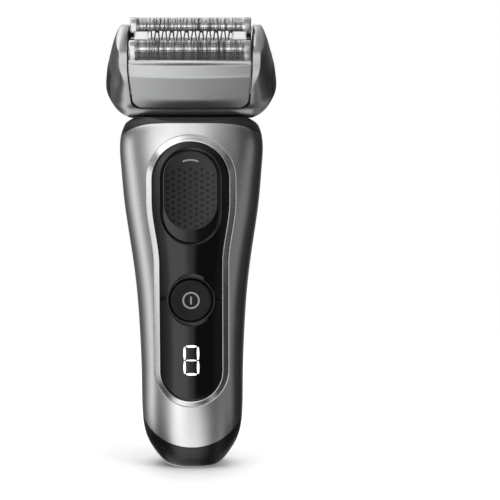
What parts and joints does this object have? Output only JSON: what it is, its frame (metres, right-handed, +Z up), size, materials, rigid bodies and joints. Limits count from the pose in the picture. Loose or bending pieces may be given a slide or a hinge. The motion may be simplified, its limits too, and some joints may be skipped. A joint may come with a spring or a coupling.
{
  "type": "foil shaver",
  "caption": "Cordless foil shaver with a waisted handle, a forward-leaning tilting head, a lift-off foil cassette and a pop-up trimmer.",
  "frame": {"origin": "centre of the flat base the shaver stands on", "axes": "+Z up along the handle, +X to the right of a viewer facing the front, front (switches and display) towards -Y"},
  "size_m": [0.0612, 0.0369, 0.1601],
  "materials": {
    "silver_shell": "satin",
    "silver_head": "satin",
    "bright_bezel": "satin",
    "black_soft": "matte",
    "black_plastic": "satin",
    "black_gloss": "gloss",
    "charcoal": "matte",
    "grey_mark": "matte",
    "lit_white": "gloss",
    "foil_steel": "polished",
    "steel": "satin",
    "rubber": "matte",
    "green_board": "satin",
    "battery_wrap": "gloss",
    "nickel": "polished",
    "copper": "polished",
    "gold": "polished",
    "dark_grey": "satin"
  },
  "bodies": {
    "handle": {"front_shell": "silver_shell", "rear_shell": "black_soft", "bezel": "bright_bezel", "inlay_panel": "black_gloss", "display_window": "black_gloss", "display_segments": "lit_white", "button_ring": "black_plastic", "collar": "black_plastic", "neck_arms": "steel", "pivot_pins": "steel", "neck_seal": "rubber", "base_band": "dark_grey", "base_seal": "rubber", "base_cap": "black_plastic", "contact_pins": "gold", "chassis": "black_plastic", "pcb": "green_board", "pcb_screws": "steel", "tact_switch": "black_plastic", "button_seal": "rubber", "display_module": "black_plastic", "battery": "battery_wrap", "battery_tabs": "nickel", "motor_yoke": "steel", "motor_coil": "copper", "motor_springs": "steel"},
    "lock_slider": {"lock_pad": "charcoal", "lock_mark": "grey_mark", "lock_bar": "steel"},
    "power_button": {"power_button": "charcoal", "power_symbol": "grey_mark"},
    "armature": {"armature": "black_plastic", "magnets": "nickel", "drive_pin": "steel"},
    "trimmer_slide": {"trimmer_slide": "black_plastic", "trimmer_comb": "steel"},
    "trimmer_blade": {"trimmer_blade": "steel"},
    "head": {"head_frame": "silver_head", "lock_sector": "steel"},
    "bridge": {"drive_bridge": "charcoal", "post_springs": "steel"},
    "release_left": {"release_left": "dark_grey"},
    "release_right": {"release_right": "dark_grey"},
    "cassette": {"cassette_shell": "silver_head", "cassette_core": "black_plastic"},
    "front_foil": {"front_foil": "foil_steel", "front_foil_frame": "silver_head"},
    "rear_foil": {"rear_foil": "foil_steel", "rear_foil_frame": "silver_head"},
    "middle_guard": {"middle_guard": "foil_steel"},
    "front_cutter": {"front_blades": "steel", "front_carrier": "black_plastic"},
    "rear_cutter": {"rear_blades": "steel", "rear_carrier": "black_plastic"},
    "middle_cutter": {"middle_blade": "steel", "middle_carrier": "black_plastic"}
  },
  "joints": [
    {"name": "head_tilt", "type": "hinge", "parent": "handle", "child": "head", "pos_m": [0, 0.002, 0.133], "axis": [1, 0, 0], "range_deg": [-20, 20]},
    {"name": "head_lock", "type": "slide", "parent": "handle", "child": "lock_slider", "axis": [0, 0, 1], "range_m": [-0.0042, 0]},
    {"name": "power_press", "type": "slide", "parent": "handle", "child": "power_button", "axis": [0, 1, 0], "range_m": [0, 0.0008]},
    {"name": "motor_drive", "type": "slide", "parent": "handle", "child": "armature", "axis": [1, 0, 0], "range_m": [-0.0012, 0.0012]},
    {"name": "bridge_drive", "type": "slide", "parent": "head", "child": "bridge", "axis": [1, 0, 0], "range_m": [-0.0012, 0.0012]},
    {"name": "trimmer_pop_up", "type": "slide", "parent": "handle", "child": "trimmer_slide", "axis": [0, 0, 1], "range_m": [0, 0.009]},
    {"name": "trimmer_drive", "type": "slide", "parent": "trimmer_slide", "child": "trimmer_blade", "axis": [1, 0, 0], "range_m": [-0.0009, 0.0009]},
    {"name": "release_press_left", "type": "slide", "parent": "head", "child": "release_left", "axis": [1, 0, 0], "range_m": [0, 0.0012]},
    {"name": "release_press_right", "type": "slide", "parent": "head", "child": "release_right", "axis": [-1, 0, 0], "range_m": [0, 0.0012]},
    {"name": "cassette_lift", "type": "slide", "parent": "head", "child": "cassette", "axis": [0, -0.515, 0.8572], "range_m": [0, 0.03]},
    {"name": "front_foil_float", "type": "slide", "parent": "cassette", "child": "front_foil", "axis": [0, -0.515, 0.8572], "range_m": [-0.0015, 0]},
    {"name": "rear_foil_float", "type": "slide", "parent": "cassette", "child": "rear_foil", "axis": [0, -0.515, 0.8572], "range_m": [-0.0015, 0]},
    {"name": "middle_float", "type": "slide", "parent": "cassette", "child": "middle_guard", "axis": [0, -0.515, 0.8572], "range_m": [-0.0012, 0]},
    {"name": "front_cutter_drive", "type": "slide", "parent": "front_foil", "child": "front_cutter", "axis": [1, 0, 0], "range_m": [-0.0012, 0.0012]},
    {"name": "rear_cutter_drive", "type": "slide", "parent": "rear_foil", "child": "rear_cutter", "axis": [1, 0, 0], "range_m": [-0.0012, 0.0012]},
    {"name": "middle_cutter_drive", "type": "slide", "parent": "middle_guard", "child": "middle_cutter", "axis": [1, 0, 0], "range_m": [-0.0012, 0.0012]}
  ],
  "couplings": [
    {"joint": "bridge_drive", "follows": "motor_drive", "ratio": 1},
    {"joint": "front_cutter_drive", "follows": "motor_drive", "ratio": 1},
    {"joint": "rear_cutter_drive", "follows": "motor_drive", "ratio": 1},
    {"joint": "middle_cutter_drive", "follows": "motor_drive", "ratio": 1},
    {"joint": "trimmer_drive", "follows": "motor_drive", "ratio": 0.75}
  ]
}
